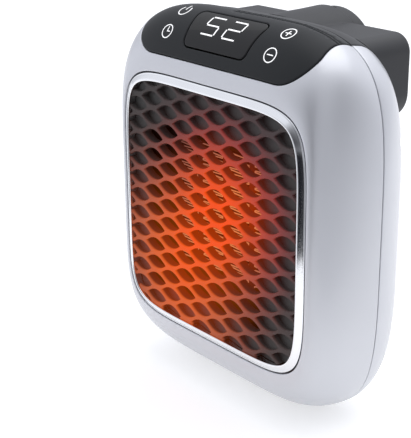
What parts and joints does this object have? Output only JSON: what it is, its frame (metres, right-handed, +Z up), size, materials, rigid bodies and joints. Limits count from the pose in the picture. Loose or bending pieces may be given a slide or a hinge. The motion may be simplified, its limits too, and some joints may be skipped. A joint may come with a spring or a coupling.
{
  "type": "plug-in fan heater",
  "caption": "Small wall-socket fan heater: a silver case with a sloping touch panel, a square grille before a ceramic element and a fan, and a turning plug on the back.",
  "frame": {"origin": "middle of the flat rear face of the turning plug, on its axis, where it meets the wall socket", "axes": "+Z is up, the grille faces -Y, the plug's blades point along +Y"},
  "size_m": [0.1262, 0.0857, 0.1496],
  "materials": {
    "silver_paint": "satin pearl silver paint",
    "panel_charcoal": "satin charcoal plastic",
    "rear_charcoal": "satin charcoal plastic",
    "gloss_window": "glossy smoked window",
    "bright_frame": "bright plated plastic",
    "grille_plastic": "matte dark grey plastic",
    "heatproof_plastic": "matte heat-resisting plastic",
    "aluminium": "folded aluminium sheet",
    "ceramic": "matte ceramic",
    "brass": "plain brass",
    "steel": "plain steel",
    "board": "coated circuit board",
    "component_blue": "moulded blue case",
    "fan_plastic": "moulded light plastic",
    "contact_foam": "conductive foam",
    "lead_sleeve": "heatproof wire sleeve",
    "carbon_brush": "pressed carbon"
  },
  "bodies": {
    "plug": {"plug_turret": "rear_charcoal", "turret_retainer": "rear_charcoal", "plug_blade_left": "brass", "plug_blade_right": "brass", "slip_ring_inner": "brass", "slip_ring_outer": "brass", "retainer_screw_upper": "steel", "retainer_screw_lower": "steel"},
    "heater": {"front_shell": "silver_paint", "rear_shell": "silver_paint", "touch_panel": "panel_charcoal", "display_window": "gloss_window", "rear_cover": "rear_charcoal", "plug_housing": "rear_charcoal", "grille_frame": "bright_frame", "front_grille": "grille_plastic", "baffle_plate": "heatproof_plastic", "heat_duct": "heatproof_plastic", "element_holder": "heatproof_plastic", "fan_shroud": "heatproof_plastic", "motor_bracket": "heatproof_plastic", "fin_pack_1": "aluminium", "fin_pack_2": "aluminium", "fin_pack_3": "aluminium", "fin_pack_4": "aluminium", "ceramic_bar_1": "ceramic", "ceramic_bar_2": "ceramic", "ceramic_bar_3": "ceramic", "heater_terminal_left": "brass", "heater_terminal_right": "brass", "thermal_cutout": "steel", "thermal_fuse": "steel", "fan_motor": "steel", "motor_lead_left": "lead_sleeve", "motor_lead_right": "lead_sleeve", "control_board": "board", "power_board": "board", "contact_board": "board", "display_module": "panel_charcoal", "touch_pad_power": "contact_foam", "touch_pad_timer": "contact_foam", "touch_pad_plus": "contact_foam", "touch_pad_minus": "contact_foam", "board_screw_left": "steel", "board_screw_right": "steel", "relay": "component_blue", "film_capacitor": "component_blue", "supply_lead_left": "lead_sleeve", "supply_lead_right": "lead_sleeve", "brush_inner": "carbon_brush", "brush_outer": "carbon_brush", "housing_screw_left": "steel", "housing_screw_right": "steel", "case_screw_upper_left": "steel", "case_screw_upper_right": "steel", "case_screw_lower_left": "steel", "case_screw_lower_right": "steel"},
    "fan": {"fan_impeller": "fan_plastic", "motor_shaft": "steel"}
  },
  "joints": [
    {"name": "plug_turn", "type": "hinge", "parent": "plug", "child": "heater", "pos_m": [0, 0, 0], "axis": [0, 1, 0], "range_deg": [-90, 90]},
    {"name": "fan_spin", "type": "hinge", "parent": "heater", "child": "fan", "pos_m": [0, -0.041, -0.0525], "axis": [0, 1, 0], "continuous": true}
  ]
}
